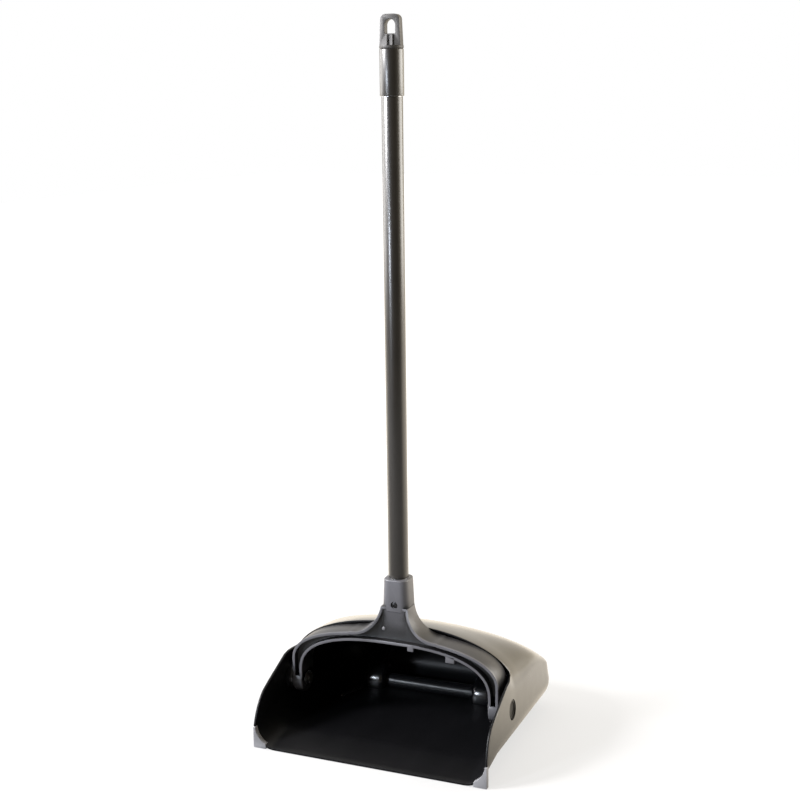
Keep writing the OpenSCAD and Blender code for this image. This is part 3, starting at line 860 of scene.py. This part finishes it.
# The hanging loop is a moulded cap of satin black plastic, plugged into the tube.
# Above its collar it has a flat eye for a wall hook.
loop = cad_copy("hanger_loop", "hanging_loop")
ease_edges(loop, 0.0006, segments=2)
loop_satin = moulded_plastic("loop_satin", (0.045, 0.042, 0.038), 0.55, coat=0.3, depth=0.05, wear_and_highlight=0.4)
loop.data.materials.append(loop_satin)
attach(loop, "handle")
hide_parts("hanger_loop")

# The photographer's table is a plain sweep that stays white in the picture but takes the pan's shadow.
# Behind the pan it is also bright, and a little warm, in reflections, as the lit back of such a sweep is.
clear_bench()
bpy.ops.mesh.primitive_plane_add(size=14, location=(0, 5.9, -0.0002))
floor = named("floor")
white = bpy.data.materials.new("white_sweep")
white.use_nodes = True
nodes = white.node_tree.nodes
link = white.node_tree.links.new
paper = nodes["Principled BSDF"]
paper.inputs["Base Color"].default_value = (0.24, 0.24, 0.24, 1)
paper.inputs["Roughness"].default_value = 0.9
paper.inputs["Specular IOR Level"].default_value = 0.1
path = nodes.new("ShaderNodeLightPath")
reach = nodes.new("ShaderNodeVectorMath")
reach.operation = "LENGTH"
place = nodes.new("ShaderNodeTexCoord")
link(place.outputs["Object"], reach.inputs[0])
far_white = nodes.new("ShaderNodeMapRange")
far_white.interpolation_type = "SMOOTHSTEP"
far_white.inputs["From Min"].default_value = 0.3
far_white.inputs["From Max"].default_value = 1.2
far_white.inputs["To Min"].default_value = 0.62
far_white.inputs["To Max"].default_value = 1.0
link(reach.outputs["Value"], far_white.inputs["Value"])
spot = nodes.new("ShaderNodeSeparateXYZ")
link(place.outputs["Object"], spot.inputs["Vector"])
behind = nodes.new("ShaderNodeMapRange")
behind.interpolation_type = "SMOOTHSTEP"
behind.inputs["From Min"].default_value = -0.2
behind.inputs["From Max"].default_value = 0.2
behind.inputs["To Max"].default_value = 1.3
link(spot.outputs["Y"], behind.inputs["Value"])
seen = nodes.new("ShaderNodeMath")
seen.operation = "MULTIPLY_ADD"
link(path.outputs["Is Glossy Ray"], seen.inputs[0])
link(behind.outputs["Result"], seen.inputs[1])
link(path.outputs["Is Camera Ray"], seen.inputs[2])
lift = nodes.new("ShaderNodeMath")
lift.operation = "MULTIPLY"
link(seen.outputs["Value"], lift.inputs[0])
link(far_white.outputs["Result"], lift.inputs[1])
mirrored = nodes.new("ShaderNodeMix")
mirrored.data_type = "RGBA"
mirrored.inputs[6].default_value = (1, 0.89, 0.72, 1)
mirrored.inputs[7].default_value = (1, 1, 1, 1)
link(path.outputs["Is Camera Ray"], mirrored.inputs[0])
link(mirrored.outputs[2], paper.inputs["Emission Color"])
link(lift.outputs["Value"], paper.inputs["Emission Strength"])
floor.data.materials.append(white)

# The room is white to the eye. Its light on the object is bright behind it, warmer on the right, and dim on
# the camera's side, so that the tube and the neck show a dark middle between pale edges.
world = bpy.data.worlds.new("white_room")
world.use_nodes = True
bpy.context.scene.world = world
nodes = world.node_tree.nodes
link = world.node_tree.links.new
room_light = nodes["Background"]
direction = nodes.new("ShaderNodeSeparateXYZ")
link(nodes.new("ShaderNodeTexCoord").outputs["Generated"], direction.inputs["Vector"])
front_to_back = nodes.new("ShaderNodeMapRange")
front_to_back.interpolation_type = "SMOOTHSTEP"
front_to_back.inputs["From Min"].default_value = -0.5
front_to_back.inputs["From Max"].default_value = 0.5
front_to_back.inputs["To Min"].default_value = 0.12
front_to_back.inputs["To Max"].default_value = 1.07
link(direction.outputs["Y"], front_to_back.inputs["Value"])
link(front_to_back.outputs["Result"], room_light.inputs["Strength"])
warmth = nodes.new("ShaderNodeMapRange")
warmth.inputs["From Min"].default_value = -0.6
warmth.inputs["From Max"].default_value = 0.4
link(direction.outputs["X"], warmth.inputs["Value"])
tint = nodes.new("ShaderNodeMix")
tint.data_type = "RGBA"
tint.inputs[6].default_value = (1, 0.98, 0.95, 1)
tint.inputs[7].default_value = (1, 0.865, 0.65, 1)
link(warmth.outputs["Result"], tint.inputs[0])
link(tint.outputs[2], room_light.inputs["Color"])
room_white = nodes.new("ShaderNodeBackground")
room_white.inputs["Color"].default_value = (1, 1, 1, 1)
room_white.inputs["Strength"].default_value = 1.0
path = nodes.new("ShaderNodeLightPath")
mixed = nodes.new("ShaderNodeMixShader")
link(path.outputs["Is Camera Ray"], mixed.inputs["Fac"])
link(room_light.outputs["Background"], mixed.inputs[1])
link(room_white.outputs["Background"], mixed.inputs[2])
link(mixed.outputs["Shader"], nodes["World Output"].inputs["Surface"])

# Soft lamps stand round the table: one overhead, a key lamp at the left front, one on each side of the
# handle, and a small cool one in front, which reaches into the pan.


def softbox(name, place, aim, width, height, power, colour):
    """A soft lamp that the camera doesn't see."""
    lamp = bpy.data.lights.new(name, "AREA")
    lamp.shape = "RECTANGLE"
    lamp.size = width
    lamp.size_y = height
    lamp.energy = power
    lamp.color = colour
    stand = bpy.data.objects.new(name, lamp)
    bpy.context.collection.objects.link(stand)
    stand.location = place
    stand.rotation_euler = (Vector(aim) - Vector(place)).to_track_quat("-Z", "Y").to_euler()
    stand.visible_camera = False


softbox("top_lamp", (-0.2, 0.4, 2.6), (0, 0, 0), 2.2, 2.2, 9, (1, 0.98, 0.95))
softbox("key_lamp", (-2.0, -1.45, 1.7), (0, 0, 0.2), 0.6, 0.6, 125, (0.98, 0.97, 1))
softbox("left_lamp", (-2.2, -0.1, 1.15), (0, 0, 0.8), 1.9, 1.4, 33, (1, 0.98, 0.96))
softbox("right_lamp", (1.9, 1.2, 1.15), (0, 0, 0.8), 1.7, 1.4, 46, (1, 0.97, 0.92))
softbox("fill_lamp", (-0.95, -1.9, 0.75), (0, 0, 0.1), 0.2, 0.2, 17, (0.82, 0.89, 1))

# The camera stands a little to the right of the mouth and looks down at the pan, as in the picture.
# It is turned by under a degree about its own axis, because the picture leans that much.
camera_data = bpy.data.cameras.new("camera")
camera_data.lens = 64.0
camera_data.sensor_width = 36.0
camera_data.clip_start = 0.05
camera = bpy.data.objects.new("camera", camera_data)
bpy.context.collection.objects.link(camera)
pitch = math.radians(12.03)
gaze = Vector((-0.3888 * math.cos(pitch), 0.9213 * math.cos(pitch), -math.sin(pitch)))
camera.location = (0.6944, -1.6625, 0.8329)
camera.rotation_mode = "QUATERNION"
camera.rotation_quaternion = gaze.to_track_quat("-Z", "Y") @ Quaternion((0, 0, 1), math.radians(-0.74))
bpy.context.scene.camera = camera
bpy.context.scene.view_settings.view_transform = "Standard"
